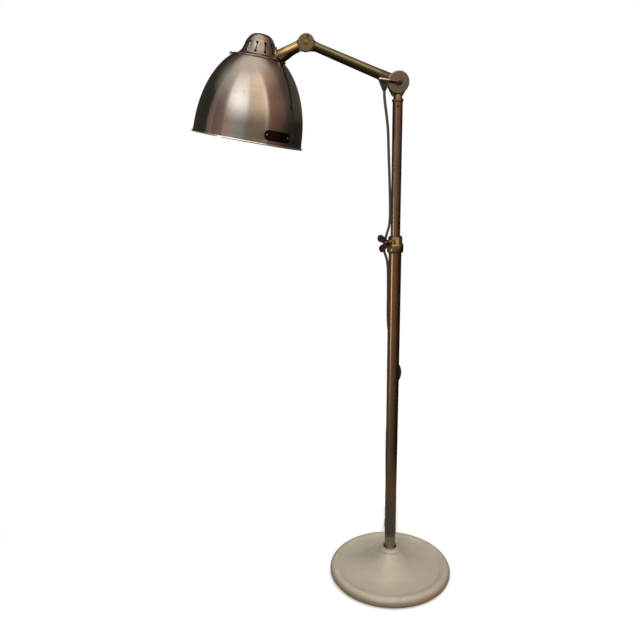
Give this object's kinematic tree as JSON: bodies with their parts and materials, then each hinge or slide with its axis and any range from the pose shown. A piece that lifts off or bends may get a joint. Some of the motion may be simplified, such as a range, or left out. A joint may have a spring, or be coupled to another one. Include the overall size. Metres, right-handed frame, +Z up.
{
  "type": "bridge floor lamp",
  "caption": "Floor lamp with a dished round base, a telescopic pole, one jointed arm and a tilting metal dome shade with a vented cap.",
  "frame": {"origin": "on the floor, where the pole's axis meets the plane that the base stands on", "axes": "+Z up along the pole, the arm and the shade reach towards -X, the cord runs down the back on the +Y side"},
  "size_m": [0.5553, 0.5406, 1.2264],
  "materials": {
    "enamel": "greige stoving enamel, semi-gloss, chipped at the rim",
    "bronze": "dark bronzed brass tube, lacquered",
    "old_brass": "aged brass, olive brown, polished edges",
    "copper": "reddish bronze, satin",
    "golden_brass": "golden brass, polished and worn",
    "nickel": "spun metal with a polished grey-brown nickel plate",
    "steel": "plain steel",
    "aluminium": "rolled thread, bright",
    "fibre": "pressed fibre, matte",
    "porcelain": "glazed porcelain",
    "black_plastic": "black moulded plastic, semi-gloss",
    "cord": "braided textile over the lead, dark olive black",
    "glass": "frosted glass"
  },
  "bodies": {
    "stand": {"base_casting": "enamel", "base_washer": "steel", "base_locknut": "steel", "pole_foot_plug": "steel", "pole_foot_ring": "bronze", "lower_tube": "bronze", "clamp_collar": "old_brass", "collar_bush": "old_brass", "collar_screw": "copper", "cord_lower": "cord", "cord_floor": "cord", "cord_hank": "cord", "hank_tie": "black_plastic", "cord_tail": "cord", "plug_body": "black_plastic", "plug_pins": "steel"},
    "wing": {"wing_screw": "copper"},
    "guide": {"guide_sleeve": "old_brass", "cord_upper": "cord", "switch_base": "black_plastic", "switch_cover": "black_plastic", "switch_screws": "steel"},
    "rocker": {"switch_rocker": "black_plastic"},
    "pole": {"upper_tube": "bronze", "sleeve_ring": "steel", "sleeve_plug": "steel", "neck_casting": "old_brass", "neck_grub_screw": "steel", "elbow_bolt": "old_brass", "cord_swivel": "cord"},
    "lever": {"elbow_lever": "copper"},
    "arm": {"arm_elbow_knuckle": "old_brass", "elbow_washer": "fibre", "cord_gland": "black_plastic", "arm_tube": "old_brass", "arm_head_knuckle": "old_brass", "arm_wire": "cord", "head_screw": "golden_brass", "head_washer": "fibre", "cord_elbow": "cord"},
    "head": {"head_neck": "golden_brass", "flange_screws": "golden_brass", "vent_cap": "copper", "cap_ring": "old_brass", "ring_screw": "steel", "shade": "nickel", "neck_nut": "steel", "holder_strap": "steel", "holder_nipple": "golden_brass", "nipple_nut": "golden_brass", "holder_cover": "golden_brass", "holder_insert": "porcelain", "holder_ring": "golden_brass", "head_wire": "cord", "bulb_cap": "aluminium", "bulb_glass": "glass"}
  },
  "joints": [
    {"name": "wing_screw_turn", "type": "hinge", "parent": "stand", "child": "wing", "pos_m": [0, 0, 0.829], "axis": [-0.848, -0.5299, 0], "range_deg": [0, 360]},
    {"name": "pole_height", "type": "slide", "parent": "stand", "child": "guide", "axis": [0, 0, 1], "range_m": [-0.24, 0.24], "deforming": ["cord_lower"]},
    {"name": "pole_swivel", "type": "hinge", "parent": "guide", "child": "pole", "pos_m": [0, 0, 0.83], "axis": [0, 0, 1], "range_deg": [-170, 170], "deforming": ["cord_swivel"]},
    {"name": "rocker_tilt", "type": "hinge", "parent": "guide", "child": "rocker", "pos_m": [0.0061, 0.0228, 0.531], "axis": [1, 0, 0], "range_deg": [0, 14]},
    {"name": "lever_turn", "type": "hinge", "parent": "pole", "child": "lever", "pos_m": [0, 0, 1.1325], "axis": [0, 1, 0], "range_deg": [-110, 20]},
    {"name": "elbow", "type": "hinge", "parent": "pole", "child": "arm", "pos_m": [0, 0, 1.1325], "axis": [0, 1, 0], "range_deg": [-35, 65], "deforming": ["cord_elbow"]},
    {"name": "head_tilt", "type": "hinge", "parent": "arm", "child": "head", "pos_m": [-0.17582, 0, 1.20713], "axis": [0, 1, 0], "range_deg": [-30, 75]}
  ]
}
